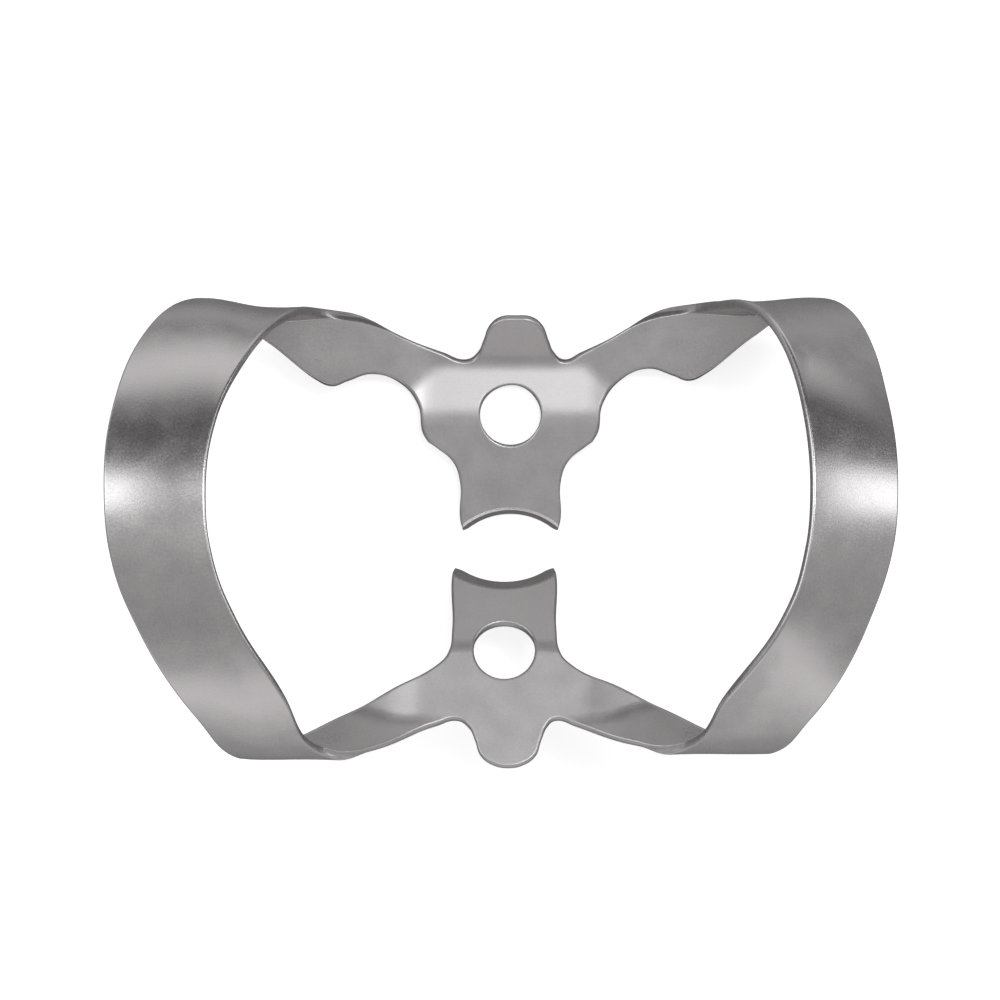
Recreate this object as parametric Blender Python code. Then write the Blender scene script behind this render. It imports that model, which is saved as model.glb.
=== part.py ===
"""Rubber dam clamp: one blank of spring steel sheet, punched flat and then bent.

The blank is drawn flat: X runs across the jaws and Y runs along the sheet, from
the crest of the bows (zero) out to the tip of each jaw.  It is sliced into narrow
strips, and each strip is carried to its place on the bent sheet.  The bent clamp
is then tipped until it lies as it would on a table: on the prongs of its upper
jaw and on the plate behind them, with the bows on top.
"""

import bpy
import bmesh
from math import atan2, cos, pi, radians, sin
from mathutils import Vector

MM = 0.001

# The sheet
SHEET = 0.40 * MM
EDGE_ROUND = 0.12 * MM

# The bows, which arch over from one jaw to the other
BOW_REACH = 14.50 * MM
BOW_WIDTH = 4.26 * MM
CREST_RADIUS = 10.46 * MM
CREST_TURN = radians(45)
FOLD_RADIUS = 7.60 * MM
LEFT_BOW_LEAN = radians(6)
RIGHT_BOW_LEAN = radians(32)
BOW_CROWN = 0.10 * MM

# The folds, where the bows turn under; they aren't quite straight
ARM_FOLD_RADIUS = 0.60 * MM
WAVE_REACH = 10.30 * MM
UPPER_FOLD_WAVE = -0.36 * MM
LOWER_FOLD_WAVE = 0.14 * MM

# The arms, which slope down from the folds to the jaws
ARM_SLOPE = radians(20)
ARM_LENGTH = 1.89 * MM
ARM_BEND_RADIUS = 3.00 * MM
ARM_LIFT = 1.60 * MM
ARM_SKEW = 0.12 * MM
UPPER_JAW_SHIFT = 0.26 * MM

# The jaws: a plate with the forceps hole, and a tip that is bent down
PLATE_SLOPE = radians(2)
TIP_SLOPE = radians(22)
JAW_BEND_RADIUS = 2.00 * MM
UPPER_PLATE_LENGTH = 1.35 * MM
LOWER_PLATE_LENGTH = 1.75 * MM
UPPER_TIP_LENGTH = 3.66 * MM
LOWER_TIP_LENGTH = 3.94 * MM
UPPER_TIP_WIDTH = 4.30 * MM
LOWER_TIP_WIDTH = 4.44 * MM
UPPER_BODY_WIDTH = 7.60 * MM
FORCEPS_HOLE = 2.60 * MM
UPPER_HOLE_SETBACK = 0.73 * MM
LOWER_HOLE_SETBACK = 1.97 * MM

# The notches between the prongs, which hold the neck of the tooth
NOTCH_RADIUS = 2.90 * MM
NOTCH_DEPTH = 0.68 * MM
UPPER_NOTCH_BEVEL = 0.26 * MM
LOWER_NOTCH_BEVEL = 0.46 * MM

# The end tabs, behind the holes
TAB_WIDTH = 2.80 * MM
NECK_WIDTH = 4.10 * MM
UPPER_TAB_LENGTH = 3.86 * MM
LOWER_TAB_LENGTH = 3.22 * MM
UPPER_TAB_TURN = radians(46)
UPPER_TAB_SHIFT = 0.50 * MM
LOWER_TAB_SHIFT = 0.16 * MM
TAB_BEND_RADIUS = 2.40 * MM

# The side wings on the inner edge of the upper arms
WING_REACH = 7.60 * MM
WING_DEPTH = 0.32 * MM

# How finely the sheet is cut into flat facets
FACET_TURN = radians(7)
CROSS_STEP = 1.00 * MM
OUTLINE_STEPS = 3
HOLE_STEPS = 7
MERGE = 0.004 * MM

STEEL_COLOUR = (0.56, 0.55, 0.55, 1.0)
STEEL_ROUGHNESS = 0.30


def smooth(value, start, end):
    """Rise gently from 0 at start to 1 at end."""
    t = min(1.0, max(0.0, (value - start) / (end - start)))
    return t * t * (3.0 - 2.0 * t)


def side_path(plate_length):
    """The bent sheet from the crest to a jaw, as (curvature, length) of each stretch."""
    bend_turn = TIP_SLOPE - PLATE_SLOPE
    return [
        (1.0 / CREST_RADIUS, CREST_RADIUS * CREST_TURN),
        (1.0 / FOLD_RADIUS, FOLD_RADIUS * (pi / 2 - CREST_TURN)),
        (1.0 / ARM_FOLD_RADIUS, ARM_FOLD_RADIUS * (pi / 2 - ARM_SLOPE)),
        (0.0, ARM_LENGTH),
        (1.0 / ARM_BEND_RADIUS, ARM_BEND_RADIUS * (ARM_SLOPE - PLATE_SLOPE)),
        (0.0, plate_length),
        (-1.0 / JAW_BEND_RADIUS, JAW_BEND_RADIUS * bend_turn),
        (0.0, 2.0 * max(UPPER_TIP_LENGTH, LOWER_TIP_LENGTH)),
    ]


def stations(path):
    """How far along the sheet each stretch of a path begins."""
    marks = [0.0]
    for _, length in path[:-1]:
        marks.append(marks[-1] + length)
    return marks


UPPER_PATH = side_path(UPPER_PLATE_LENGTH)
LOWER_PATH = side_path(LOWER_PLATE_LENGTH)
SHOULDER, FOLD = stations(UPPER_PATH)[1:3]
PLATE, UPPER_ROOT, UPPER_STEP = stations(UPPER_PATH)[5:8]
LOWER_ROOT, LOWER_STEP = stations(LOWER_PATH)[6:8]
UPPER_TIP = UPPER_STEP + UPPER_TIP_LENGTH
LOWER_TIP = LOWER_STEP + LOWER_TIP_LENGTH


def walk(path, distance):
    """Reach, height and heading after going a distance along a path."""
    y = z = heading = 0.0
    for curvature, length in path:
        step = min(length, distance)
        if step <= 0.0:
            break
        if curvature:
            turned = heading + curvature * step
            y += (sin(turned) - sin(heading)) / curvature
            z += (cos(turned) - cos(heading)) / curvature
            heading = turned
        else:
            y += step * cos(heading)
            z -= step * sin(heading)
        distance -= length
    return y, z, heading


def walk_tab(path, distance, turn):
    """The same along the middle of a jaw, where the tab leaves the plate."""
    if distance >= PLATE:
        return walk(path, distance)
    y, z, _ = walk(path, PLATE)
    back = PLATE - distance
    curl = min(back, TAB_BEND_RADIUS * turn)
    slope = PLATE_SLOPE + curl / TAB_BEND_RADIUS
    y += TAB_BEND_RADIUS * (sin(slope) - sin(PLATE_SLOPE))
    z += TAB_BEND_RADIUS * (cos(PLATE_SLOPE) - cos(slope))
    y += (back - curl) * cos(slope)
    z += (back - curl) * sin(slope)
    return y, z, pi - slope


def bow_middle(along):
    """How far out the middle of the bow band lies at a station."""
    return BOW_REACH - 0.31 * BOW_WIDTH * (along / SHOULDER) ** 2


def sideways(along, middle, upper):
    """How far the forming has pushed a place to the right, by eye on the real clamp."""
    shift = UPPER_JAW_SHIFT * smooth(along, 0.0, 0.8 * FOLD) if upper else 0.0
    tab_shift = UPPER_TAB_SHIFT if upper else LOWER_TAB_SHIFT
    on_tab = middle * (1.0 - smooth(along, (FOLD + PLATE) / 2, PLATE))
    return shift + (tab_shift - shift) * on_tab


def leaned(x, along):
    """The sideways lean of the bow band at a station."""
    lean = LEFT_BOW_LEAN if x < 0.0 else RIGHT_BOW_LEAN
    return lean * (1.0 - smooth(along, 0.3 * FOLD, 0.85 * FOLD))


def crown_drop(outward, along):
    """How far the edges of the bow band drop below its middle line."""
    share = min(1.0, abs(outward) / (BOW_WIDTH / 2))
    return BOW_CROWN * share * share * (1.0 - smooth(along, SHOULDER, FOLD))


def fold_wave(across, along, upper):
    """How far the folding has drawn a place outward."""
    wave = UPPER_FOLD_WAVE if upper else LOWER_FOLD_WAVE
    there = smooth(across, 0.62 * WAVE_REACH, 0.95 * WAVE_REACH)
    there *= 1.0 - smooth(across, WAVE_REACH, 1.25 * WAVE_REACH)
    return wave * there * smooth(along, 0.45 * FOLD, FOLD) * (1.0 - smooth(along, FOLD, PLATE))


def arm_skew(across):
    """How far the arms stand off to one side of the level, by eye on the real clamp."""
    there = smooth(across, 0.40 * WING_REACH, 0.80 * WING_REACH)
    return ARM_SKEW * there * (1.0 - smooth(across, WAVE_REACH, 1.30 * WAVE_REACH))


def bent_point(x, s):
    """Where a point of the flat blank goes on the bent sheet."""
    upper = s >= 0.0
    along = abs(s)
    across = abs(x)
    path = UPPER_PATH if upper else LOWER_PATH
    y, z, heading = walk(path, along)
    middle = 1.0 - smooth(across, TAB_WIDTH / 2, UPPER_BODY_WIDTH / 2)
    if middle > 0.0:
        tab_y, tab_z, _ = walk_tab(path, along, UPPER_TAB_TURN if upper else 0.0)
        y += (tab_y - y) * middle
        z += (tab_z - z) * middle
    z += ARM_LIFT * smooth(across, 0.9 * UPPER_BODY_WIDTH / 2, 1.26 * WING_REACH)
    y += fold_wave(across, along, upper)
    lean = leaned(x, along)
    outward = across - bow_middle(along)
    across += outward * (cos(lean) - 1.0)
    drop = outward * sin(lean) + crown_drop(outward, along)
    y -= drop * sin(heading)
    z -= drop * cos(heading)
    side = -1.0 if x < 0.0 else 1.0
    y = y if upper else -y
    y += side * arm_skew(across)
    return Vector((side * across + sideways(along, middle, upper), y, z))


def bend(point):
    """Carry a point of the flat sheet, with its height in the sheet, to its bent place."""
    x, s, height = point
    probe = 0.02 * MM
    here = bent_point(x, s)
    side = bent_point(x + probe, s) - bent_point(x - probe, s)
    ahead = bent_point(x, s + probe) - bent_point(x, s - probe)
    return here + side.cross(ahead).normalized() * height


def bow_station(share):
    """A station on the bow, as a share of the way from the crest to the fold."""
    return share * FOLD


def outer_half():
    """Right half of the outer contour, from the lower prong round to the upper one.

    Each entry is (x, station, corner).
    """
    bow = BOW_REACH + BOW_WIDTH / 2
    tip = LOWER_TIP_WIDTH / 2
    jaw = UPPER_TIP_WIDTH / 2
    body = UPPER_BODY_WIDTH / 2
    root = -LOWER_ROOT
    step = UPPER_STEP
    wing = PLATE - WING_DEPTH
    return [
        (tip - 0.12 * MM, -LOWER_TIP, True),
        (tip, -LOWER_TIP + 0.50 * MM, False),
        (tip, root - 1.20 * MM, False),
        (tip + 0.16 * MM, root - 0.10 * MM, False),
        (tip + 0.65 * MM, root + 0.46 * MM, False),
        (tip + 2.61 * MM, root + 1.52 * MM, False),
        (tip + 4.58 * MM, root + 2.88 * MM, False),
        (tip + 7.10 * MM, root + 4.38 * MM, False),
        (bow - 5.85 * MM, bow_station(-1.04), False),
        (bow - 3.80 * MM, bow_station(-0.78), False),
        (bow - 1.40 * MM, bow_station(-0.46), False),
        (bow - 0.38 * MM, bow_station(-0.27), False),
        (bow, bow_station(-0.03), False),
        (bow - 0.32 * MM, bow_station(0.25), False),
        (bow - 1.45 * MM, bow_station(0.56), False),
        (bow - 3.62 * MM, bow_station(0.88), False),
        (WING_REACH + 3.95 * MM, wing - 3.03 * MM, False),
        (WING_REACH + 2.50 * MM, wing - 1.81 * MM, False),
        (WING_REACH + 0.55 * MM, wing - 0.15 * MM, False),
        (WING_REACH - 0.05 * MM, wing, False),
        (WING_REACH - 0.60 * MM, wing - 0.25 * MM, False),
        (body + 2.05 * MM, wing - 0.69 * MM, False),
        (body + 0.85 * MM, wing - 0.32 * MM, False),
        (body + 0.15 * MM, wing + 0.57 * MM, False),
        (body - 0.06 * MM, step - 0.55 * MM, False),
        (body - 0.28 * MM, step - 0.15 * MM, True),
        (body - 0.62 * MM, step + 0.08 * MM, False),
        (jaw + 0.30 * MM, step + 0.72 * MM, False),
        (jaw, step + 1.60 * MM, False),
        (jaw, UPPER_TIP - 0.50 * MM, False),
        (jaw - 0.12 * MM, UPPER_TIP, True),
    ]


def inner_half():
    """Right half of the inner contour, from the lower tab round to the upper one."""
    bow = BOW_REACH - BOW_WIDTH / 2
    tab = TAB_WIDTH / 2
    neck = NECK_WIDTH / 2
    low_end = -PLATE + LOWER_TAB_LENGTH
    high_end = PLATE - UPPER_TAB_LENGTH
    return [
        (0.0, low_end, False),
        (tab * 0.46, low_end - 0.13 * MM, False),
        (tab * 0.83, low_end - 0.53 * MM, False),
        (tab, low_end - 1.20 * MM, False),
        (neck - 0.40 * MM, -PLATE + 1.45 * MM, False),
        (neck, -PLATE + 1.15 * MM, False),
        (neck + 0.90 * MM, -PLATE + 1.45 * MM, False),
        (neck + 2.80 * MM, -PLATE + 2.42 * MM, False),
        (neck + 4.25 * MM, -PLATE + 3.10 * MM, False),
        (bow - 4.46 * MM, bow_station(-0.93), False),
        (bow - 3.12 * MM, bow_station(-0.66), False),
        (bow - 1.27 * MM, bow_station(-0.42), False),
        (bow - 0.36 * MM, bow_station(-0.26), False),
        (bow, bow_station(-0.07), False),
        (bow - 0.35 * MM, bow_station(0.17), False),
        (bow - 1.50 * MM, bow_station(0.41), False),
        (bow - 3.20 * MM, bow_station(0.71), False),
        (bow - 4.50 * MM, bow_station(0.94), False),
        (neck + 3.38 * MM, PLATE - 3.06 * MM, False),
        (neck + 0.95 * MM, PLATE - 2.00 * MM, False),
        (neck, PLATE - 1.68 * MM, False),
        (neck - 0.42 * MM, PLATE - 2.03 * MM, False),
        (tab, high_end + 1.25 * MM, False),
        (tab * 0.80, high_end + 0.47 * MM, False),
        (tab * 0.48, high_end + 0.07 * MM, False),
        (0.0, high_end, False),
    ]


def whole_contour(half):
    """A closed contour from its right half and the mirror image of that half."""
    mirrored = [(-x, s, corner) for x, s, corner in reversed(half) if abs(x) > 0.0]
    return half + mirrored


def add_outline(curve, contour):
    """Add a closed outline, smooth but for its corners."""
    spline = curve.splines.new('BEZIER')
    spline.bezier_points.add(len(contour) - 1)
    for anchor, (x, s, corner) in zip(spline.bezier_points, contour):
        anchor.co = (x, s, 0.0)
        kind = 'VECTOR' if corner else 'AUTO'
        anchor.handle_left_type = kind
        anchor.handle_right_type = kind
    spline.use_cyclic_u = True
    spline.resolution_u = OUTLINE_STEPS


def add_hole(curve, station):
    """Add a round hole on the middle line of the blank."""
    radius = FORCEPS_HOLE / 2
    quarter = [(radius, 0.0), (0.0, radius), (-radius, 0.0), (0.0, -radius)]
    add_outline(curve, [(x, station + y, False) for x, y in quarter])
    spline = curve.splines[-1]
    spline.resolution_u = HOLE_STEPS
    reach = radius * 0.5523
    for anchor, (x, y) in zip(spline.bezier_points, quarter):
        along = Vector((-y, x, 0.0)).normalized() * reach
        anchor.handle_left_type = 'FREE'
        anchor.handle_right_type = 'FREE'
        anchor.handle_left = anchor.co - along
        anchor.handle_right = anchor.co + along


def flat_blank():
    """The punched blank, flat, with rounded edges."""
    curve = bpy.data.curves.new("blank_outline", 'CURVE')
    curve.dimensions = '2D'
    curve.fill_mode = 'BOTH'
    curve.extrude = SHEET / 2 - EDGE_ROUND
    curve.bevel_depth = EDGE_ROUND
    curve.bevel_resolution = 1
    curve.offset = -EDGE_ROUND
    add_outline(curve, whole_contour(outer_half()))
    add_outline(curve, whole_contour(inner_half()))
    add_hole(curve, PLATE + UPPER_HOLE_SETBACK)
    add_hole(curve, -PLATE - LOWER_HOLE_SETBACK)
    guide = bpy.data.objects.new("blank_outline", curve)
    bpy.context.scene.collection.objects.link(guide)
    bpy.context.view_layer.update()
    evaluated = guide.evaluated_get(bpy.context.evaluated_depsgraph_get())
    mesh = bpy.data.meshes.new_from_object(evaluated)
    mesh.name = "clamp_body"
    bpy.data.objects.remove(guide)
    bm = bmesh.new()
    bm.from_mesh(mesh)
    bmesh.ops.remove_doubles(bm, verts=bm.verts, dist=0.0005 * MM)
    bmesh.ops.recalc_face_normals(bm, faces=bm.faces)
    bm.to_mesh(mesh)
    bm.free()
    return mesh


def notch_cutter(name, tip_station, bevel, collection):
    """A cone that cuts a round notch whose wall leans back."""
    inward = -1.0 if tip_station > 0.0 else 1.0
    centre = tip_station - inward * (NOTCH_RADIUS - NOTCH_DEPTH)
    slope = bevel / SHEET
    overshoot = SHEET
    bpy.ops.mesh.primitive_cone_add(
        vertices=72,
        radius1=NOTCH_RADIUS + slope * (SHEET + overshoot),
        radius2=NOTCH_RADIUS - slope * overshoot,
        depth=SHEET + 2 * overshoot,
        end_fill_type='NGON',
        location=(0.0, centre, 0.0),
    )
    cutter = bpy.context.active_object
    cutter.name = name
    for owner in list(cutter.users_collection):
        owner.objects.unlink(cutter)
    collection.objects.link(cutter)
    cutter.hide_render = True
    cutter.display_type = 'WIRE'
    return cutter


def cut(body, cutters):
    """Cut the body and keep the result as its mesh."""
    for cutter in cutters:
        modifier = body.modifiers.new(cutter.name, 'BOOLEAN')
        modifier.operation = 'DIFFERENCE'
        modifier.solver = 'EXACT'
        modifier.object = cutter
    bpy.context.view_layer.update()
    evaluated = body.evaluated_get(bpy.context.evaluated_depsgraph_get())
    result = bpy.data.meshes.new_from_object(evaluated)
    body.modifiers.clear()
    blank = body.data
    body.data = result
    bpy.data.meshes.remove(blank)


def bend_lines(path):
    """Stations where a path is cut, close together where it turns."""
    lines = []
    start = 0.0
    for curvature, length in path[:-1]:
        count = max(1, round(abs(curvature) * length / FACET_TURN))
        lines += [start + length * i / count for i in range(count)]
        start += length
    return lines + [start]


def tab_lines(turn):
    """Stations where the tab's own bend is cut."""
    count = max(1, round(turn / FACET_TURN))
    return [PLATE - TAB_BEND_RADIUS * turn * (i + 0.5) / count for i in range(count)]


def cross_lines():
    """Distances from the middle where the low layer is cut lengthwise."""
    start = TAB_WIDTH / 2
    end = WING_REACH
    count = max(2, round((end - start) / CROSS_STEP))
    return [start + (end - start) * i / count for i in range(count + 1)]


def slice_across(bm, faces, point, direction):
    """Cut faces along a line of the blank, and mark the new edges."""
    edges = {edge for face in faces for edge in face.edges}
    verts = {vert for face in faces for vert in face.verts}
    made = bmesh.ops.bisect_plane(
        bm,
        geom=list(verts) + list(edges) + list(faces),
        dist=MERGE,
        plane_co=point,
        plane_no=direction,
    )
    for item in made['geom_cut']:
        if isinstance(item, bmesh.types.BMEdge):
            item.seam = True


def slice_blank(bm):
    """Cut the blank where it bends, and clear away what the cuts don't need."""
    upper = bend_lines(UPPER_PATH) + tab_lines(UPPER_TAB_TURN)
    lower = [-s for s in bend_lines(LOWER_PATH)]
    for s in sorted(set(upper + lower)):
        slice_across(bm, list(bm.faces), (0.0, s, 0.0), (0.0, 1.0, 0.0))
    slice_across(bm, list(bm.faces), (0.0, 0.0, 0.0), (1.0, 0.0, 0.0))
    for x in cross_lines():
        for place in (-x, x):
            low = [f for f in bm.faces if abs(f.calc_center_median().y) > FOLD]
            slice_across(bm, low, (place, 0.0, 0.0), (1.0, 0.0, 0.0))
    bmesh.ops.dissolve_limit(
        bm,
        angle_limit=radians(0.05),
        use_dissolve_boundaries=False,
        verts=bm.verts,
        edges=bm.edges,
        delimit={'SEAM'},
    )
    bmesh.ops.remove_doubles(bm, verts=bm.verts, dist=MERGE)
    bmesh.ops.triangulate(bm, faces=bm.faces, quad_method='BEAUTY', ngon_method='BEAUTY')


def rest_tilt(points):
    """How far the clamp tips over its upper prongs before the plate touches."""
    prong = min((p for p in points if p.y > 0.0), key=lambda p: p.z)
    behind = [p for p in points if p.y > prong.y + FORCEPS_HOLE / 2]
    return min(atan2(p.z - prong.z, p.y - prong.y) for p in behind)


def bend_body(body):
    """Slice the flat body, bend it, and lay it down as it comes to rest."""
    bm = bmesh.new()
    bm.from_mesh(body.data)
    slice_blank(bm)
    for vert in bm.verts:
        vert.co = bend(vert.co)
    points = [vert.co.copy() for vert in bm.verts]
    tilt = rest_tilt(points)
    for vert in bm.verts:
        x, y, z = vert.co
        vert.co = (x, y * cos(tilt) + z * sin(tilt), z * cos(tilt) - y * sin(tilt))
    lows = [min(v.co[i] for v in bm.verts) for i in range(3)]
    highs = [max(v.co[i] for v in bm.verts) for i in range(3)]
    middle = [(low + high) / 2 for low, high in zip(lows, highs)]
    for vert in bm.verts:
        vert.co -= Vector((middle[0], middle[1], lows[2]))
    for edge in bm.edges:
        edge.seam = False
    bm.to_mesh(body.data)
    bm.free()


def steel_material():
    """Satin stainless spring steel."""
    material = bpy.data.materials.new("satin_steel")
    material.use_nodes = True
    shader = material.node_tree.nodes["Principled BSDF"]
    shader.inputs["Base Color"].default_value = STEEL_COLOUR
    shader.inputs["Metallic"].default_value = 1.0
    shader.inputs["Roughness"].default_value = STEEL_ROUGHNESS
    return material


def shade(body):
    """Smooth along the bends, sharp at the bevelled notches."""
    body.data.shade_smooth()
    body.data.set_sharp_from_angle(angle=radians(35))
    body.data.materials.clear()
    body.data.materials.append(steel_material())


def make_clamp():
    """The whole clamp."""
    for old in list(bpy.data.objects):
        bpy.data.objects.remove(old)
    parts = bpy.data.collections.new("rubber_dam_clamp")
    cutters = bpy.data.collections.new("cutters")
    bpy.context.scene.collection.children.link(parts)
    bpy.context.scene.collection.children.link(cutters)
    body = bpy.data.objects.new("clamp_body", flat_blank())
    parts.objects.link(body)
    notches = [
        notch_cutter("upper_notch", UPPER_TIP, UPPER_NOTCH_BEVEL, cutters),
        notch_cutter("lower_notch", -LOWER_TIP, LOWER_NOTCH_BEVEL, cutters),
    ]
    cut(body, notches)
    bend_body(body)
    shade(body)


make_clamp()
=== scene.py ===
"""The rubber dam clamp as photographed: satin spring steel, lying on a white table.

The blank is drawn flat, cut much finer than the solid, and then bent and laid down
the same way, so the shown surface has the solid's form with smooth bends.
"""

from math import atan2, cos, pi, radians, sin, tan

import bmesh
import bpy
from mathutils import Matrix, Vector


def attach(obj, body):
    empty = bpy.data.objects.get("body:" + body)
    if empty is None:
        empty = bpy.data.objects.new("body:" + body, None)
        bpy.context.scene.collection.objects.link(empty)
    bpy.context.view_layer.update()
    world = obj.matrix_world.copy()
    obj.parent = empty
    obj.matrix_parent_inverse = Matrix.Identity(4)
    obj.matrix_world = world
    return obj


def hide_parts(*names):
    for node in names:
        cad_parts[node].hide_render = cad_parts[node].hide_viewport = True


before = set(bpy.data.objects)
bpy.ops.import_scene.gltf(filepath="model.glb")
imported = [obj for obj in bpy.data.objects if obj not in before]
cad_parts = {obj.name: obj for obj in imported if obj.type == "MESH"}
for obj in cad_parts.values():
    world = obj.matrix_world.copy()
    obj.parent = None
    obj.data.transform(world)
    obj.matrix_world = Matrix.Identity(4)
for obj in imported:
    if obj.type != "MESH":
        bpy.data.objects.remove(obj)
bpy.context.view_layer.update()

MM = 0.001

# The sheet
SHEET = 0.40 * MM
EDGE_ROUND = 0.12 * MM

# The bows, which arch over from one jaw to the other
BOW_REACH = 14.50 * MM
BOW_WIDTH = 4.26 * MM
CREST_RADIUS = 10.46 * MM
CREST_TURN = radians(45)
FOLD_RADIUS = 7.60 * MM
LEFT_BOW_LEAN = radians(6)
RIGHT_BOW_LEAN = radians(32)
BOW_CROWN = 0.10 * MM
BOW_TUCK = 0.31

# The folds, where the bows turn under; they aren't quite straight
ARM_FOLD_RADIUS = 0.60 * MM
WAVE_REACH = 10.30 * MM
UPPER_FOLD_WAVE = -0.36 * MM
LOWER_FOLD_WAVE = 0.14 * MM

# The arms, which slope down from the folds to the jaws
ARM_SLOPE = radians(20)
ARM_LENGTH = 1.89 * MM
ARM_BEND_RADIUS = 3.00 * MM
ARM_LIFT = 1.60 * MM
ARM_SKEW = 0.12 * MM
UPPER_JAW_SHIFT = 0.26 * MM

# The jaws: a plate with the forceps hole, and a tip that is bent down
PLATE_SLOPE = radians(2)
TIP_SLOPE = radians(22)
JAW_BEND_RADIUS = 2.00 * MM
UPPER_PLATE_LENGTH = 1.35 * MM
LOWER_PLATE_LENGTH = 1.75 * MM
UPPER_TIP_LENGTH = 3.66 * MM
LOWER_TIP_LENGTH = 3.94 * MM
UPPER_TIP_WIDTH = 4.30 * MM
LOWER_TIP_WIDTH = 4.44 * MM
UPPER_BODY_WIDTH = 7.60 * MM
FORCEPS_HOLE = 2.60 * MM
UPPER_HOLE_SETBACK = 0.73 * MM
LOWER_HOLE_SETBACK = 1.97 * MM

# The notches between the prongs, which hold the neck of the tooth
NOTCH_RADIUS = 2.90 * MM
NOTCH_DEPTH = 0.68 * MM
UPPER_NOTCH_BEVEL = 0.26 * MM
LOWER_NOTCH_BEVEL = 0.74 * MM

# The end tabs, behind the holes
TAB_WIDTH = 2.80 * MM
NECK_WIDTH = 4.10 * MM
UPPER_TAB_LENGTH = 3.86 * MM
LOWER_TAB_LENGTH = 3.22 * MM
UPPER_TAB_TURN = radians(46)
UPPER_TAB_SHIFT = 0.50 * MM
LOWER_TAB_SHIFT = 0.16 * MM
TAB_BEND_RADIUS = 2.40 * MM

# The side wings on the inner edge of the upper arms
WING_REACH = 7.60 * MM
WING_DEPTH = 0.32 * MM

# How finely the shown surface is cut
CUT_TURN = radians(2)
CUT_STEP = 0.40 * MM
OUTLINE_STEPS = 10
ROUND_STEPS = 3
HOLE_STEPS = 24
NOTCH_STEPS = 288
TAB_CUTS = 20
MERGE = 0.004 * MM
WELD = 0.0005 * MM
STRAIGHT = radians(0.05)
ROUND_HANDLE = 0.5523
PROBE = 0.02 * MM

# The chamfer along the notches, which is polished and carries a painted highlight
RIM_WIDTH = 0.12 * MM
RIM_SLOPE = 0.70

# What counts as a level face, and as part of a notch's wall
LEVEL = 0.9999
WALL_SLACK = 0.02 * MM
WALL_FACING = -0.2

# The sheen, which only the shading shows: how far the polish runs on past the plates
# and how far it leans, and between which distances either fades out
SHEEN_RUN = 1.00 * MM
UPPER_SHEEN_SPAN = (2.6 * MM, 5.6 * MM)
LOWER_SHEEN_SPAN = (3.4 * MM, 8.4 * MM)
UPPER_SHEEN_TURN = radians(-2.5)
LOWER_SHEEN_TURN = radians(3.5)
JAW_SHEEN_SPAN = (4.5 * MM, 9.0 * MM)
FOLD_SHEEN_REACH = (1.2 * MM, 0.2 * MM)

# The finish of the steel and the painted highlight of the notch chamfers, with patterns laid on
# the blank in millimetres
GRAIN_SCALE = 9.0
MOTTLE_SCALE = 0.9
PIT_SCALE = 0.62
PIT_RARITY = 0.72
PIT_RADII = (0.035, 0.075)
PIT_TONE = 0.55
PIT_DEPTH = 0.6
JAW_FINISH_SPAN = (4.0, 9.0)
BOW_ROUGHNESS = 0.26
JAW_ROUGHNESS = 0.42
RIM_POLISH = 0.16
# A painted highlight: the chamfers along the notches are coloured this much brighter than the
# steel
RIM_PAINTED_HIGHLIGHT = 1.60
STEEL_TINTS = ((0.574, 0.543, 0.556, 1.0), (0.574, 0.550, 0.551, 1.0))
RELIEF = 0.005 * MM
RELIEF_STRENGTH = 0.5

# The photograph: the camera stands straight above the table
CAMERA_PLACE = (-0.056 * MM, 1.39 * MM, 420 * MM)
PHOTO_WIDTH = 42.8 * MM
SENSOR_WIDTH = 36.0

# The room, as (tilt in degrees that mirrors it straight up, level), and how much of
# that tilt a sideways one takes away
ROOM_TONES = [
    (-45.0, 0.92), (-37.0, 0.88), (-29.0, 0.50), (-22.0, 0.40), (-6.0, 0.46), (3.0, 0.56),
    (12.0, 0.50), (19.0, 0.15), (28.0, 0.10), (33.0, 0.27), (40.0, 0.84), (45.0, 0.95),
]
SIDE_SPREAD = 0.30

# The table: its paint, its glow in the photo, and the painted reflection it shows in the steel,
# as (millimetres towards the top of the photo, level), with painted shade near the clamp and in a
# strip behind it, and a painted gloom off to the right
TABLE_SIZE = 6.0
TABLE_DROP = 0.05 * MM
TABLE_WHITE = 0.8
TABLE_SEEN = 0.66
# Painted shade: seen in the steel, the table's paint is darker by this share
TABLE_MIRRORED_SHADE = 0.25
GLOOM = 0.88
GLOOM_BEARINGS = (0.62, 1.15)
GLOOM_START = 10 * MM
TABLE_PAINTED_REFLECTION = [
    (-115.0, 0.62), (-48.0, 0.48), (-30.0, 0.38), (-18.0, 0.24), (-11.0, 0.06), (11.0, 0.06),
    (19.0, 0.34), (24.0, 0.14), (31.0, 0.34), (52.0, 0.66), (170.0, 0.80),
]

# The soft lamps, as (name, tilts in degrees to the right and to the top of the photo
# of the surfaces that mirror the lamp straight up, level)
LAMP_DISTANCE = 0.60
LAMP_COLOUR = (0.955, 1.0, 0.99)
LAMPS = [
    ("left_lamp", (-38.0, -8.0), (6.0, 16.5), 2.1),
    ("middle_lamp", (2.0, 16.0), (6.0, 16.0), 4.9),
    ("right_lamp", (30.0, 52.0), (3.0, 17.5), 1.8),
]


def smooth(value, start, end):
    """Rise gently from 0 at start to 1 at end."""
    t = min(1.0, max(0.0, (value - start) / (end - start)))
    return t * t * (3.0 - 2.0 * t)


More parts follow.
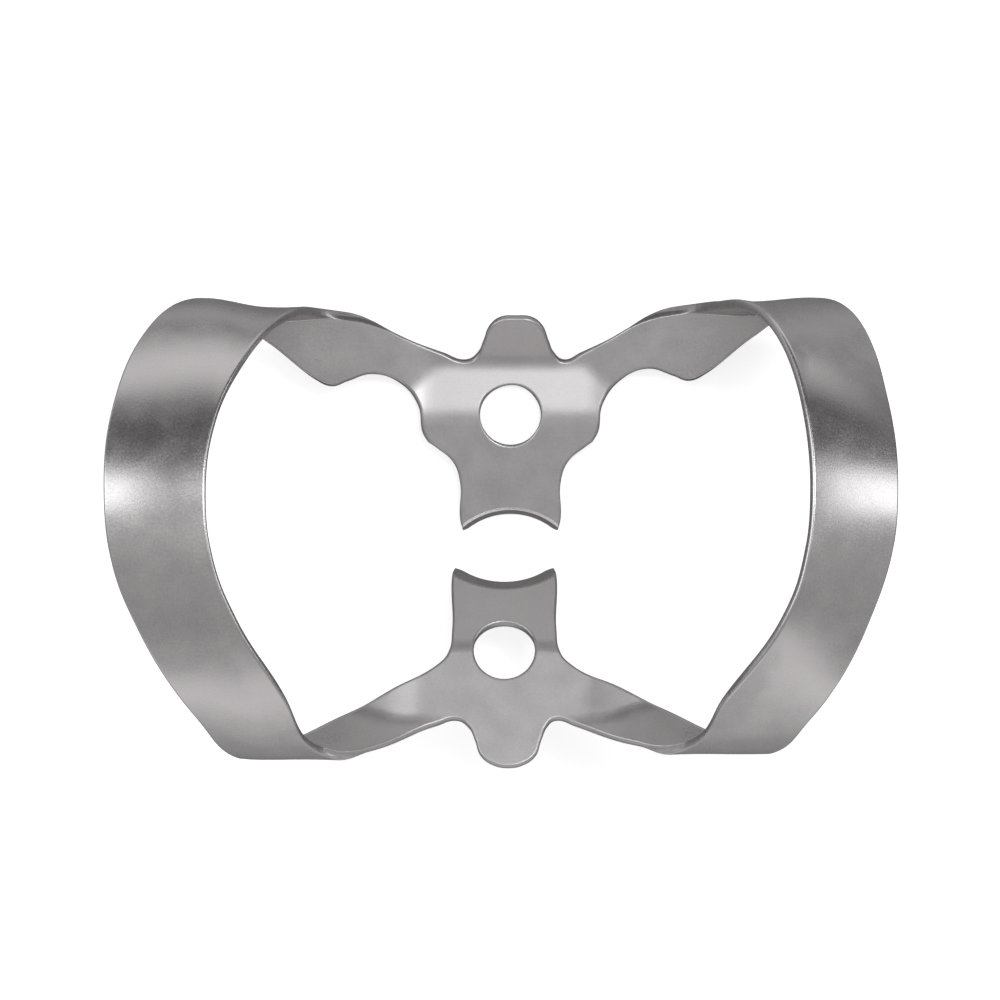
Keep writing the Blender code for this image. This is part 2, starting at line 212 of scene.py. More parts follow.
def side_path(plate_length):
    """The bent sheet from the crest to a jaw, as (curvature, length) of each stretch."""
    bend_turn = TIP_SLOPE - PLATE_SLOPE
    return [
        (1.0 / CREST_RADIUS, CREST_RADIUS * CREST_TURN),
        (1.0 / FOLD_RADIUS, FOLD_RADIUS * (pi / 2 - CREST_TURN)),
        (1.0 / ARM_FOLD_RADIUS, ARM_FOLD_RADIUS * (pi / 2 - ARM_SLOPE)),
        (0.0, ARM_LENGTH),
        (1.0 / ARM_BEND_RADIUS, ARM_BEND_RADIUS * (ARM_SLOPE - PLATE_SLOPE)),
        (0.0, plate_length),
        (-1.0 / JAW_BEND_RADIUS, JAW_BEND_RADIUS * bend_turn),
        (0.0, 2.0 * max(UPPER_TIP_LENGTH, LOWER_TIP_LENGTH)),
    ]


def stations(path):
    """How far along the sheet each stretch of a path begins."""
    marks = [0.0]
    for _, length in path[:-1]:
        marks.append(marks[-1] + length)
    return marks


UPPER_PATH = side_path(UPPER_PLATE_LENGTH)
LOWER_PATH = side_path(LOWER_PLATE_LENGTH)
SHOULDER, FOLD = stations(UPPER_PATH)[1:3]
ARM_START = stations(UPPER_PATH)[3]
PLATE, UPPER_ROOT, UPPER_STEP = stations(UPPER_PATH)[5:8]
LOWER_ROOT, LOWER_STEP = stations(LOWER_PATH)[6:8]
UPPER_TIP = UPPER_STEP + UPPER_TIP_LENGTH
LOWER_TIP = LOWER_STEP + LOWER_TIP_LENGTH


def walk(path, distance):
    """Reach, height and heading after going a distance along a path."""
    y = z = heading = 0.0
    for curvature, length in path:
        step = min(length, distance)
        if step <= 0.0:
            break
        if curvature:
            turned = heading + curvature * step
            y += (sin(turned) - sin(heading)) / curvature
            z += (cos(turned) - cos(heading)) / curvature
            heading = turned
        else:
            y += step * cos(heading)
            z -= step * sin(heading)
        distance -= length
    return y, z, heading


def walk_tab(path, distance, turn):
    """The same along the middle of a jaw, where the tab leaves the plate."""
    if distance >= PLATE:
        return walk(path, distance)
    y, z, _ = walk(path, PLATE)
    back = PLATE - distance
    curl = min(back, TAB_BEND_RADIUS * turn)
    slope = PLATE_SLOPE + curl / TAB_BEND_RADIUS
    y += TAB_BEND_RADIUS * (sin(slope) - sin(PLATE_SLOPE))
    z += TAB_BEND_RADIUS * (cos(PLATE_SLOPE) - cos(slope))
    y += (back - curl) * cos(slope)
    z += (back - curl) * sin(slope)
    return y, z, pi - slope


def bow_middle(along):
    """How far out the middle of the bow band lies at a station."""
    return BOW_REACH - BOW_TUCK * BOW_WIDTH * (along / SHOULDER) ** 2


def sideways(along, middle, upper):
    """How far the forming has pushed a place to the right, judged from the photo."""
    shift = UPPER_JAW_SHIFT * smooth(along, 0.0, 0.8 * FOLD) if upper else 0.0
    tab_shift = UPPER_TAB_SHIFT if upper else LOWER_TAB_SHIFT
    on_tab = middle * (1.0 - smooth(along, (FOLD + PLATE) / 2, PLATE))
    return shift + (tab_shift - shift) * on_tab


def leaned(x, along):
    """The sideways lean of the bow band at a station."""
    lean = LEFT_BOW_LEAN if x < 0.0 else RIGHT_BOW_LEAN
    return lean * (1.0 - smooth(along, 0.3 * FOLD, 0.85 * FOLD))


def crown_drop(outward, along):
    """How far the edges of the bow band drop below its middle line."""
    share = min(1.0, abs(outward) / (BOW_WIDTH / 2))
    return BOW_CROWN * share * share * (1.0 - smooth(along, SHOULDER, FOLD))


def fold_wave(across, along, upper):
    """How far the folding has drawn a place outward."""
    wave = UPPER_FOLD_WAVE if upper else LOWER_FOLD_WAVE
    there = smooth(across, 0.62 * WAVE_REACH, 0.95 * WAVE_REACH)
    there *= 1.0 - smooth(across, WAVE_REACH, 1.25 * WAVE_REACH)
    return wave * there * smooth(along, 0.45 * FOLD, FOLD) * (1.0 - smooth(along, FOLD, PLATE))


def arm_skew(across):
    """How far the forming has skewed the arms, judged from the photo."""
    there = smooth(across, 0.40 * WING_REACH, 0.80 * WING_REACH)
    return ARM_SKEW * there * (1.0 - smooth(across, WAVE_REACH, 1.30 * WAVE_REACH))


def bent_point(x, s):
    """Where a point of the flat blank goes on the bent sheet."""
    upper = s >= 0.0
    along = abs(s)
    across = abs(x)
    path = UPPER_PATH if upper else LOWER_PATH
    y, z, heading = walk(path, along)
    middle = 1.0 - smooth(across, TAB_WIDTH / 2, UPPER_BODY_WIDTH / 2)
    if middle > 0.0:
        tab_y, tab_z, _ = walk_tab(path, along, UPPER_TAB_TURN if upper else 0.0)
        y += (tab_y - y) * middle
        z += (tab_z - z) * middle
    z += ARM_LIFT * smooth(across, 0.9 * UPPER_BODY_WIDTH / 2, 1.26 * WING_REACH)
    y += fold_wave(across, along, upper)
    lean = leaned(x, along)
    outward = across - bow_middle(along)
    across += outward * (cos(lean) - 1.0)
    drop = outward * sin(lean) + crown_drop(outward, along)
    y -= drop * sin(heading)
    z -= drop * cos(heading)
    side = -1.0 if x < 0.0 else 1.0
    y = y if upper else -y
    y += side * arm_skew(across)
    return Vector((side * across + sideways(along, middle, upper), y, z))


def bend_frame(x, s):
    """A place on the bent sheet, with the sheet's side, ahead and upright directions there."""
    side = bent_point(x + PROBE, s) - bent_point(x - PROBE, s)
    ahead = (bent_point(x, s + PROBE) - bent_point(x, s - PROBE)).normalized()
    upright = side.cross(ahead).normalized()
    return bent_point(x, s), ahead.cross(upright), ahead, upright


def bow_station(share):
    """A station on the bow, as a share of the way from the crest to the fold."""
    return share * FOLD


def outer_half():
    """Right half of the outer contour, from the lower prong round to the upper one.

    Each entry is (x, station, corner).
    """
    bow = BOW_REACH + BOW_WIDTH / 2
    tip = LOWER_TIP_WIDTH / 2
    jaw = UPPER_TIP_WIDTH / 2
    body = UPPER_BODY_WIDTH / 2
    root = -LOWER_ROOT
    step = UPPER_STEP
    wing = PLATE - WING_DEPTH
    return [
        (tip - 0.12 * MM, -LOWER_TIP, True),
        (tip, -LOWER_TIP + 0.50 * MM, False),
        (tip, root - 1.20 * MM, False),
        (tip + 0.16 * MM, root - 0.10 * MM, False),
        (tip + 0.65 * MM, root + 0.46 * MM, False),
        (tip + 2.61 * MM, root + 1.52 * MM, False),
        (tip + 4.58 * MM, root + 2.88 * MM, False),
        (tip + 7.10 * MM, root + 4.38 * MM, False),
        (bow - 5.85 * MM, bow_station(-1.04), False),
        (bow - 3.80 * MM, bow_station(-0.78), False),
        (bow - 1.40 * MM, bow_station(-0.46), False),
        (bow - 0.38 * MM, bow_station(-0.27), False),
        (bow, bow_station(-0.03), False),
        (bow - 0.32 * MM, bow_station(0.25), False),
        (bow - 1.45 * MM, bow_station(0.56), False),
        (bow - 3.62 * MM, bow_station(0.88), False),
        (WING_REACH + 3.95 * MM, wing - 3.03 * MM, False),
        (WING_REACH + 2.50 * MM, wing - 1.81 * MM, False),
        (WING_REACH + 0.55 * MM, wing - 0.15 * MM, False),
        (WING_REACH - 0.05 * MM, wing, False),
        (WING_REACH - 0.60 * MM, wing - 0.25 * MM, False),
        (body + 2.05 * MM, wing - 0.69 * MM, False),
        (body + 0.85 * MM, wing - 0.32 * MM, False),
        (body + 0.15 * MM, wing + 0.57 * MM, False),
        (body - 0.06 * MM, step - 0.55 * MM, False),
        (body - 0.28 * MM, step - 0.15 * MM, True),
        (body - 0.62 * MM, step + 0.08 * MM, False),
        (jaw + 0.30 * MM, step + 0.72 * MM, False),
        (jaw, step + 1.60 * MM, False),
        (jaw, UPPER_TIP - 0.50 * MM, False),
        (jaw - 0.12 * MM, UPPER_TIP, True),
    ]


def inner_half():
    """Right half of the inner contour, from the lower tab round to the upper one."""
    bow = BOW_REACH - BOW_WIDTH / 2
    tab = TAB_WIDTH / 2
    neck = NECK_WIDTH / 2
    low_end = -PLATE + LOWER_TAB_LENGTH
    high_end = PLATE - UPPER_TAB_LENGTH
    return [
        (0.0, low_end, False),
        (tab * 0.46, low_end - 0.13 * MM, False),
        (tab * 0.83, low_end - 0.53 * MM, False),
        (tab, low_end - 1.20 * MM, False),
        (neck - 0.40 * MM, -PLATE + 1.45 * MM, False),
        (neck, -PLATE + 1.15 * MM, False),
        (neck + 0.90 * MM, -PLATE + 1.45 * MM, False),
        (neck + 2.80 * MM, -PLATE + 2.42 * MM, False),
        (neck + 4.25 * MM, -PLATE + 3.10 * MM, False),
        (bow - 4.46 * MM, bow_station(-0.93), False),
        (bow - 3.12 * MM, bow_station(-0.66), False),
        (bow - 1.27 * MM, bow_station(-0.42), False),
        (bow - 0.36 * MM, bow_station(-0.26), False),
        (bow, bow_station(-0.07), False),
        (bow - 0.35 * MM, bow_station(0.17), False),
        (bow - 1.50 * MM, bow_station(0.41), False),
        (bow - 3.20 * MM, bow_station(0.71), False),
        (bow - 4.50 * MM, bow_station(0.94), False),
        (neck + 3.38 * MM, PLATE - 3.06 * MM, False),
        (neck + 0.95 * MM, PLATE - 2.00 * MM, False),
        (neck, PLATE - 1.68 * MM, False),
        (neck - 0.42 * MM, PLATE - 2.03 * MM, False),
        (tab, high_end + 1.25 * MM, False),
        (tab * 0.80, high_end + 0.47 * MM, False),
        (tab * 0.48, high_end + 0.07 * MM, False),
        (0.0, high_end, False),
    ]


def whole_contour(half):
    """A closed contour from its right half and the mirror image of that half."""
    mirrored = [(-x, s, corner) for x, s, corner in reversed(half) if abs(x) > 0.0]
    return half + mirrored


def add_outline(curve, contour):
    """Add a closed outline, smooth but for its corners."""
    spline = curve.splines.new('BEZIER')
    spline.bezier_points.add(len(contour) - 1)
    for anchor, (x, s, corner) in zip(spline.bezier_points, contour):
        anchor.co = (x, s, 0.0)
        kind = 'VECTOR' if corner else 'AUTO'
        anchor.handle_left_type = kind
        anchor.handle_right_type = kind
    spline.use_cyclic_u = True
    spline.resolution_u = OUTLINE_STEPS


def add_hole(curve, station):
    """Add a round hole on the middle line of the blank."""
    radius = FORCEPS_HOLE / 2
    quarter = [(radius, 0.0), (0.0, radius), (-radius, 0.0), (0.0, -radius)]
    add_outline(curve, [(x, station + y, False) for x, y in quarter])
    spline = curve.splines[-1]
    spline.resolution_u = HOLE_STEPS
    reach = radius * ROUND_HANDLE
    for anchor, (x, y) in zip(spline.bezier_points, quarter):
        along = Vector((-y, x, 0.0)).normalized() * reach
        anchor.handle_left_type = 'FREE'
        anchor.handle_right_type = 'FREE'
        anchor.handle_left = anchor.co - along
        anchor.handle_right = anchor.co + along


def flat_blank():
    """The punched blank, flat, with rounded edges."""
    curve = bpy.data.curves.new("blank_outline", 'CURVE')
    curve.dimensions = '2D'
    curve.fill_mode = 'BOTH'
    curve.extrude = SHEET / 2 - EDGE_ROUND
    curve.bevel_depth = EDGE_ROUND
    curve.bevel_resolution = ROUND_STEPS
    curve.offset = -EDGE_ROUND
    add_outline(curve, whole_contour(outer_half()))
    add_outline(curve, whole_contour(inner_half()))
    add_hole(curve, PLATE + UPPER_HOLE_SETBACK)
    add_hole(curve, -PLATE - LOWER_HOLE_SETBACK)
    guide = bpy.data.objects.new("blank_outline", curve)
    bpy.context.scene.collection.objects.link(guide)
    bpy.context.view_layer.update()
    evaluated = guide.evaluated_get(bpy.context.evaluated_depsgraph_get())
    mesh = bpy.data.meshes.new_from_object(evaluated)
    bpy.data.objects.remove(guide)
    bm = bmesh.new()
    bm.from_mesh(mesh)
    bmesh.ops.remove_doubles(bm, verts=bm.verts, dist=WELD)
    bmesh.ops.recalc_face_normals(bm, faces=bm.faces)
    bm.to_mesh(mesh)
    bm.free()
    return mesh


def notch_centre(tip_station):
    """Where the round notch at a jaw's end has its centre."""
    inward = -1.0 if tip_station > 0.0 else 1.0
    return tip_station - inward * (NOTCH_RADIUS - NOTCH_DEPTH)


def notch_cutter(tip_station, bevel):
    """A turned plug that cuts a round notch whose wall leans back and ends in a chamfer."""
    slope = bevel / SHEET
    low = -SHEET / 2
    profile = [
        (NOTCH_RADIUS + bevel + RIM_WIDTH + 2.0 * SHEET, low - 2.0 * SHEET * RIM_SLOPE),
        (NOTCH_RADIUS + bevel - slope * RIM_SLOPE * RIM_WIDTH, low + RIM_SLOPE * RIM_WIDTH),
        (NOTCH_RADIUS - slope * SHEET, 1.5 * SHEET),
    ]
    bm = bmesh.new()
    rings = []
    for radius, z in profile:
        turns = [2.0 * pi * i / NOTCH_STEPS for i in range(NOTCH_STEPS)]
        rings.append([bm.verts.new((radius * cos(a), radius * sin(a), z)) for a in turns])
    for lower, upper in zip(rings[:-1], rings[1:]):
        for i in range(NOTCH_STEPS):
            j = (i + 1) % NOTCH_STEPS
            bm.faces.new((lower[i], lower[j], upper[j], upper[i]))
    bm.faces.new(list(reversed(rings[0])))
    bm.faces.new(rings[-1])
    bmesh.ops.recalc_face_normals(bm, faces=bm.faces)
    mesh = bpy.data.meshes.new("notch_plug")
    bm.to_mesh(mesh)
    bm.free()
    plug = bpy.data.objects.new("notch_plug", mesh)
    bpy.context.scene.collection.objects.link(plug)
    plug.location = (0.0, notch_centre(tip_station), 0.0)
    return plug


def cut_notches(body):
    """Cut both notches into the flat body."""
    cutters = [
        notch_cutter(UPPER_TIP, UPPER_NOTCH_BEVEL),
        notch_cutter(-LOWER_TIP, LOWER_NOTCH_BEVEL),
    ]
    for cutter in cutters:
        modifier = body.modifiers.new("notch", 'BOOLEAN')
        modifier.operation = 'DIFFERENCE'
        modifier.solver = 'EXACT'
        modifier.object = cutter
    bpy.context.view_layer.update()
    evaluated = body.evaluated_get(bpy.context.evaluated_depsgraph_get())
    result = bpy.data.meshes.new_from_object(evaluated)
    body.modifiers.clear()
    body.data = result
    for cutter in cutters:
        bpy.data.objects.remove(cutter)


def bend_lines(path):
    """Stations where a path is cut, close together where it turns."""
    lines = []
    start = 0.0
    for curvature, length in path[:-1]:
        count = max(3, round(abs(curvature) * length / CUT_TURN), round(length / CUT_STEP))
        lines += [start + length * i / count for i in range(count)]
        start += length
    return lines + [start]


def slice_across(bm, point, direction):
    """Cut the blank along a line, and mark the new edges."""
    made = bmesh.ops.bisect_plane(
        bm,
        geom=bm.verts[:] + bm.edges[:] + bm.faces[:],
        dist=MERGE,
        plane_co=point,
        plane_no=direction,
    )
    for item in made['geom_cut']:
        if isinstance(item, bmesh.types.BMEdge):
            item.seam = True


def slice_blank(bm):
    """Cut the blank into small cells, and clear away the lines that nothing bends on."""
    lines = bend_lines(UPPER_PATH) + [-s for s in bend_lines(LOWER_PATH)]
    curl = TAB_BEND_RADIUS * UPPER_TAB_TURN
    lines += [PLATE - curl * (i + 0.5) / TAB_CUTS for i in range(TAB_CUTS)]
    for s in sorted(set(lines)):
        slice_across(bm, (0.0, s, 0.0), (0.0, 1.0, 0.0))
    reach = BOW_REACH + BOW_WIDTH / 2
    count = round(reach / CUT_STEP)
    for i in range(-count + 1, count):
        x = reach * i / count
        slice_across(bm, (x, 0.0, 0.0), (1.0, 0.0, 0.0))
    bmesh.ops.dissolve_limit(
        bm,
        angle_limit=STRAIGHT,
        use_dissolve_boundaries=False,
        verts=bm.verts,
        edges=bm.edges,
        delimit={'SEAM'},
    )
    bmesh.ops.remove_doubles(bm, verts=bm.verts, dist=MERGE)
    bmesh.ops.triangulate(bm, faces=bm.faces, quad_method='BEAUTY', ngon_method='BEAUTY')


def on_notch_wall(face):
    """Whether a face of the flat blank is part of the wall of a notch, or of its chamfer."""
    place = face.calc_center_median()
    for tip, bevel in ((UPPER_TIP, UPPER_NOTCH_BEVEL), (-LOWER_TIP, LOWER_NOTCH_BEVEL)):
        radius = NOTCH_RADIUS + bevel * (0.5 - place.z / SHEET)
        outward = Vector((place.x, place.y - notch_centre(tip)))
        facing = face.normal.xy.dot(outward.normalized())
        beyond = outward.length - radius
        if -WALL_SLACK < beyond < RIM_WIDTH + WALL_SLACK and facing < WALL_FACING:
            return True
    return False


def on_chamfer(face):
    """Whether a face of the flat blank is part of the chamfer along a notch."""
    place = face.calc_center_median()
    depth = place.z + SHEET / 2
    return 0.0001 * MM < depth < RIM_SLOPE * RIM_WIDTH and on_notch_wall(face)


def flat_normals(bm):
    """The smooth normal of each face corner on the flat blank."""
    top = SHEET / 2 - 0.001 * MM
    round_sum = {}
    walls = set()
    for face in bm.faces:
        if abs(face.normal.z) > LEVEL:
            continue
        if on_notch_wall(face):
            walls.add(face.index)
            continue
        for loop in face.loops:
            start = round_sum.get(loop.vert.index, Vector())
            round_sum[loop.vert.index] = start + face.normal * loop.calc_angle()
    normals = []
    for face in bm.faces:
        for loop in face.loops:
            co = loop.vert.co
            if face.index in walls or abs(face.normal.z) > LEVEL:
                normals.append(face.normal.copy())
            elif abs(co.z) > top:
                normals.append(Vector((0.0, 0.0, 1.0 if co.z > 0.0 else -1.0)))
            else:
                normals.append(round_sum[loop.vert.index].normalized())
    return normals


def rest_tilt(points):
    """How far the clamp tips back over its upper prongs before its arm roots touch."""
    prong = min((p for p in points if p.y > 0.0), key=lambda p: p.z)
    behind = [p for p in points if p.y > prong.y + FORCEPS_HOLE / 2]
    return min(atan2(p.z - prong.z, p.y - prong.y) for p in behind)


def tipped(vector, tilt):
    """A vector turned about the X axis, as the clamp tips back."""
    x, y, z = vector
    return Vector((x, y * cos(tilt) + z * sin(tilt), z * cos(tilt) - y * sin(tilt)))


def sheen_station(x, s, z):
    """The station whose slope a face shows in its sheen.

    The polish of the upper plate fades early towards the prongs. Behind the hole it
    runs on towards the tab, and it stops short of the wings. The lower arms have it too.
    Inside the folds the arms look flat right up to the bows.
    """
    along = abs(s)
    if s > PLATE:
        faded = smooth(s, PLATE + 0.1 * MM, PLATE + 1.3 * SHEEN_RUN)
        return UPPER_ROOT + (UPPER_STEP - UPPER_ROOT) * faded
    if along > PLATE:
        return s
    run_on = smooth(along, PLATE - 2.6 * SHEEN_RUN, PLATE - 1.2 * SHEEN_RUN)
    if s > 0.0:
        run_on *= 1.0 - 2.0 * smooth(abs(x), *UPPER_SHEEN_SPAN)
    else:
        run_on *= 1.0 - smooth(abs(x), *LOWER_SHEEN_SPAN)
    shown = along + SHEEN_RUN * run_on
    start, end = FOLD_SHEEN_REACH
    inside = smooth(-z, -SHEET / 2, SHEET / 2) * smooth(along, FOLD - start, FOLD - end)
    shown += max(0.0, ARM_START - along) * inside
    return shown if s > 0.0 else -shown


def sheen_turn(x, s):
    """How much further the polish of a jaw leans than its plate does."""
    turn = UPPER_SHEEN_TURN if s > 0.0 else LOWER_SHEEN_TURN
    return turn * (1.0 - smooth(abs(x), *JAW_SHEEN_SPAN))


def sheen_normals(bm, tilt):
    """The normal of each face corner, once the blank is bent and tipped."""
    frames = [bend_frame(vert.co.x, sheen_station(*vert.co)) for vert in bm.verts]
    turns = [sheen_turn(vert.co.x, vert.co.y) for vert in bm.verts]
    corners = [loop.vert.index for face in bm.faces for loop in face.loops]
    normals = []
    for corner, flat in zip(corners, flat_normals(bm)):
        _, side, ahead, up = frames[corner]
        turned = side * flat.x + ahead * flat.y + up * flat.z
        normals.append(tipped(turned, tilt + turns[corner]).normalized())
    return normals


def bend_body(body):
    """Slice the flat body, bend it, and lay it down as it comes to rest."""
    bm = bmesh.new()
    bm.from_mesh(body.data)
    slice_blank(bm)
    bm.verts.index_update()
    bm.faces.index_update()
    bm.normal_update()
    blank_uv = bm.loops.layers.uv.new("blank")
    for face in bm.faces:
        for loop in face.loops:
            loop[blank_uv].uv = (loop.vert.co.x / MM, loop.vert.co.y / MM)
    frames = [bend_frame(vert.co.x, vert.co.y) for vert in bm.verts]
    bent = [here + up * vert.co.z for vert, (here, _, _, up) in zip(bm.verts, frames)]
    tilt = rest_tilt(bent)
    normals = sheen_normals(bm, tilt)
    on_rim = [1.0 if on_chamfer(face) else 0.0 for face in bm.faces for _ in face.loops]
    for vert, place in zip(bm.verts, bent):
        vert.co = tipped(place, tilt)
    lows = [min(v.co[i] for v in bm.verts) for i in range(3)]
    highs = [max(v.co[i] for v in bm.verts) for i in range(3)]
    centre = Vector(((lows[0] + highs[0]) / 2, (lows[1] + highs[1]) / 2, lows[2]))
    for vert in bm.verts:
        vert.co -= centre
    for edge in bm.edges:
        edge.seam = False
    bm.to_mesh(body.data)
    bm.free()
    body.data.shade_smooth()
    body.data.normals_split_custom_set(normals)
    rim = body.data.attributes.new("rim", 'FLOAT', 'CORNER')
    rim.data.foreach_set("value", on_rim)


def shown_body():
    """The clamp that is seen in place of the plain solid."""
    body = bpy.data.objects.new("clamp_steel", flat_blank())
    bpy.context.scene.collection.objects.link(body)
    cut_notches(body)
    bend_body(body)
    return body


def node_tools(tree):
    """Short ways to add a node, to grade a value onto another range, and to do sums."""
    def add(kind, values=(), **settings):
        node = tree.nodes.new(kind)
        for name, value in settings.items():
            setattr(node, name, value)
        for name, value in values:
            if isinstance(value, bpy.types.NodeSocket):
                tree.links.new(value, node.inputs[name])
            else:
                node.inputs[name].default_value = value
        return node

    def grade(value, low, high, start, end):
        return add("ShaderNodeMapRange", [
            ("Value", value), ("From Min", low), ("From Max", high),
            ("To Min", start), ("To Max", end),
        ]).outputs["Result"]

    def math(operation, first, second=0.0):
        return add("ShaderNodeMath", [(0, first), (1, second)], operation=operation).outputs[0]

    return add, grade, math


def satin_steel():
    """Satin spring steel: a fine grain, duller jaws, soft mottling, a few pits, and a painted
    highlight on the notch chamfers.
    """
    material = bpy.data.materials.new("satin_spring_steel")
    material.use_nodes = True
    links = material.node_tree.links
    shader = material.node_tree.nodes["Principled BSDF"]
    add, grade, math = node_tools(material.node_tree)

    blank = add("ShaderNodeUVMap", uv_map="blank").outputs["UV"]
    across = add("ShaderNodeSeparateXYZ", [(0, blank)]).outputs["X"]
    rim = add("ShaderNodeAttribute", attribute_name="rim").outputs["Fac"]
    grain = add("ShaderNodeTexNoise", [
        ("Vector", blank), ("Scale", GRAIN_SCALE), ("Detail", 3.0), ("Roughness", 0.65),
    ]).outputs["Fac"]
    mottle = add("ShaderNodeTexNoise", [
        ("Vector", blank), ("Scale", MOTTLE_SCALE), ("Detail", 2.0), ("Roughness", 0.5),
    ]).outputs["Fac"]
    cells = add("ShaderNodeTexVoronoi", [("Vector", blank), ("Scale", PIT_SCALE)])
    rare = math('GREATER_THAN', cells.outputs["Color"], PIT_RARITY)
    near = grade(cells.outputs["Distance"], *PIT_RADII, 1.0, 0.0)
    pit = math('MULTIPLY', rare, near)

    jaw = grade(math('ABSOLUTE', across), *JAW_FINISH_SPAN, 1.0, 0.0)
    rough = grade(jaw, 0.0, 1.0, BOW_ROUGHNESS, JAW_ROUGHNESS)
    rough = math('ADD', rough, grade(mottle, 0.3, 0.7, -0.03, 0.03))
    rough = math('ADD', rough, grade(grain, 0.3, 0.7, -0.04, 0.04))
    rough = math('SUBTRACT', rough, math('MULTIPLY', rim, RIM_POLISH))
    links.new(rough, shader.inputs["Roughness"])

    bright = math('ADD', grade(grain, 0.3, 0.7, 0.94, 1.06), grade(mottle, 0.3, 0.7, -0.04, 0.04))
    bright = math('MULTIPLY', bright, grade(pit, 0.0, 1.0, 1.0, PIT_TONE))
    # Painted highlight: the notch chamfers are coloured brighter than the rest of the steel
    bright = math('MULTIPLY', bright, grade(rim, 0.0, 1.0, 1.0, RIM_PAINTED_HIGHLIGHT))
    tint = add("ShaderNodeMix", [("Factor", mottle)], data_type='RGBA')
    tint.inputs[6].default_value, tint.inputs[7].default_value = STEEL_TINTS
    colour = add("ShaderNodeVectorMath", [(0, tint.outputs[2])], operation='SCALE')
    links.new(bright, colour.inputs["Scale"])
    links.new(colour.outputs[0], shader.inputs["Base Color"])

    height = math('SUBTRACT', grain, math('MULTIPLY', pit, PIT_DEPTH))
    bump = add("ShaderNodeBump", [
        ("Height", height), ("Strength", RELIEF_STRENGTH), ("Distance", RELIEF),
    ])
    links.new(bump.outputs["Normal"], shader.inputs["Normal"])
    shader.inputs["Metallic"].default_value = 1.0
    return material


def ramp_of(nodes, stops):
    """A smooth grey ramp through (place, level) stops."""
    ramp = nodes.new("ShaderNodeValToRGB")
    ramp.color_ramp.interpolation = 'EASE'
    elements = ramp.color_ramp.elements
    while len(elements) > 1:
        elements.remove(elements[-1])
    for i, (spot, level) in enumerate(stops):
        stop = elements[0] if i == 0 else elements.new(spot)
        stop.position = spot
        stop.color = (level, level, level, 1.0)
    return ramp


def white_table():
    """A white table top that keeps the clamp's shadow.

    Seen in the steel it shows a painted reflection, with its paint darker too: painted shade
    close to the clamp and in a strip behind it, where the clamp's shadow falls, and painted
    darkness far off to the right, where the room is dark.
    """
    bpy.ops.mesh.primitive_plane_add(size=TABLE_SIZE, location=(0.0, 0.0, -TABLE_DROP))
    floor = bpy.context.active_object
    floor.name = "table"
    material = bpy.data.materials.new("table_white")
    material.use_nodes = True
    links = material.node_tree.links
    nodes = material.node_tree.nodes
    nodes.clear()
    add, grade, math = node_tools(material.node_tree)
    axes = add("ShaderNodeSeparateXYZ", [(0, add("ShaderNodeTexCoord").outputs["Object"])])
    path = add("ShaderNodeLightPath")
    near, far = TABLE_PAINTED_REFLECTION[0][0] * MM, TABLE_PAINTED_REFLECTION[-1][0] * MM
    reflection_shade_ramp = ramp_of(nodes, [((y * MM - near) / (far - near), v) for y, v in TABLE_PAINTED_REFLECTION])
    links.new(grade(axes.outputs["Y"], near, far, 0.0, 1.0), reflection_shade_ramp.inputs["Fac"])
    beside = math('SUBTRACT', axes.outputs["X"], BOW_REACH)
    bearing = math('DIVIDE', beside, math('MAXIMUM', axes.outputs["Y"], MM))
    behind = grade(axes.outputs["Y"], 0.0, GLOOM_START, 0.0, 1.0)
    gloom = math('MULTIPLY', behind, grade(bearing, *GLOOM_BEARINGS, 0.0, GLOOM))
    shown = math('MULTIPLY', reflection_shade_ramp.outputs[0], math('SUBTRACT', 1.0, gloom))
    # Painted reflection, seen only in the steel: painted shade near the clamp and behind it, and
    # a painted gloom to the right
    mirrored = math('MULTIPLY', path.outputs["Is Glossy Ray"], shown)
    seen = math('MULTIPLY', path.outputs["Is Camera Ray"], TABLE_SEEN)
    dark = TABLE_WHITE * TABLE_MIRRORED_SHADE
    # Painted shade: in the steel the table's paint is darker
    tone = grade(path.outputs["Is Glossy Ray"], 0.0, 1.0, TABLE_WHITE, dark)
    paint = add("ShaderNodeBsdfDiffuse", [("Color", tone)])
    glow = add("ShaderNodeEmission", [("Strength", math('ADD', mirrored, seen))])
    both = add("ShaderNodeAddShader", [(0, paint.outputs[0]), (1, glow.outputs[0])])
    add("ShaderNodeOutputMaterial", [("Surface", both.outputs[0])])
    floor.data.materials.append(material)


def camera():
    """A camera straight above the table, framed as the photograph."""
    data = bpy.data.cameras.new("photo_camera")
    data.sensor_width = SENSOR_WIDTH
    data.lens = SENSOR_WIDTH * CAMERA_PLACE[2] / PHOTO_WIDTH
    data.clip_start = 0.01
    data.clip_end = 10.0
    cam = bpy.data.objects.new("photo_camera", data)
    bpy.context.scene.collection.objects.link(cam)
    cam.location = CAMERA_PLACE
    bpy.context.scene.camera = cam


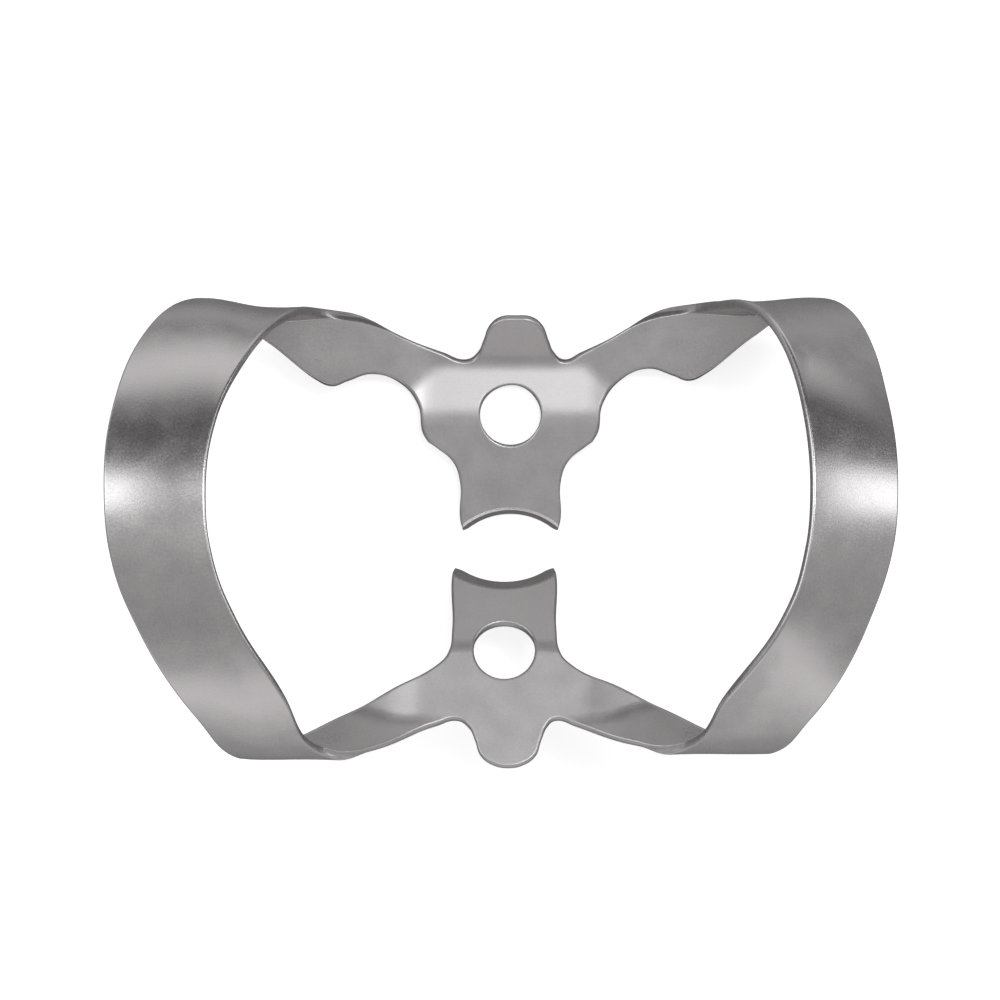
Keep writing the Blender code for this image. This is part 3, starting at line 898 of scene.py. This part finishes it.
def studio_world():
    """A grey room: lighter behind and below, dark above the far side of the table.

    The room's tone goes by the tilt at which a surface mirrors it straight up.
    """
    world = bpy.data.worlds.new("studio")
    world.use_nodes = True
    links = world.node_tree.links
    add, grade, math = node_tools(world.node_tree)
    place = add("ShaderNodeTexCoord").outputs["Generated"]
    axes = add("ShaderNodeSeparateXYZ", [(0, place)])
    above = math('ADD', axes.outputs["Z"], 1.001)
    tilt_x = math('DIVIDE', axes.outputs["X"], above)
    tilt_y = math('DIVIDE', axes.outputs["Y"], above)
    spread = math('MULTIPLY', math('MULTIPLY', tilt_x, tilt_x), SIDE_SPREAD)
    tilt = math('DIVIDE', tilt_y, math('ADD', spread, 1.0))
    stops = [((tan(radians(t)) + 1.0) / 2.0, level) for t, level in ROOM_TONES]
    ramp = ramp_of(world.node_tree.nodes, stops)
    links.new(grade(tilt, -1.0, 1.0, 0.0, 1.0), ramp.inputs["Fac"])
    links.new(ramp.outputs[0], world.node_tree.nodes["Background"].inputs["Color"])
    bpy.context.scene.world = world


def mirrored_by(tilt_x, tilt_y):
    """The direction that a surface of these tilts, in degrees, mirrors straight up."""
    normal = Vector((tan(radians(tilt_x)), tan(radians(tilt_y)), 1.0)).normalized()
    return 2.0 * normal.z * normal - Vector((0.0, 0.0, 1.0))


def soft_box(name, tilts_x, tilts_y, level):
    """A flat soft lamp, placed where surfaces between these tilts mirror it straight up."""
    middle_x = sum(tilts_x) / 2
    middle_y = sum(tilts_y) / 2
    centre = mirrored_by(middle_x, middle_y)
    width = mirrored_by(tilts_x[1], middle_y) - mirrored_by(tilts_x[0], middle_y)
    height = mirrored_by(middle_x, tilts_y[1]) - mirrored_by(middle_x, tilts_y[0])
    across = (width - centre * width.dot(centre)).normalized()
    turn = Matrix((across, centre.cross(across), centre)).transposed()
    data = bpy.data.lights.new(name, 'AREA')
    data.shape = 'RECTANGLE'
    data.size = width.length * LAMP_DISTANCE
    data.size_y = height.length * LAMP_DISTANCE
    data.energy = level * pi * data.size * data.size_y
    data.color = LAMP_COLOUR
    lamp = bpy.data.objects.new(name, data)
    bpy.context.scene.collection.objects.link(lamp)
    lamp.matrix_world = Matrix.Translation(centre * LAMP_DISTANCE) @ turn.to_4x4()


body = shown_body()
body.data.materials.clear()
body.data.materials.append(satin_steel())
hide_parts("clamp_body")
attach(body, "root")

white_table()
camera()
studio_world()
for lamp in LAMPS:
    soft_box(*lamp)

bpy.context.scene.view_settings.view_transform = 'Standard'
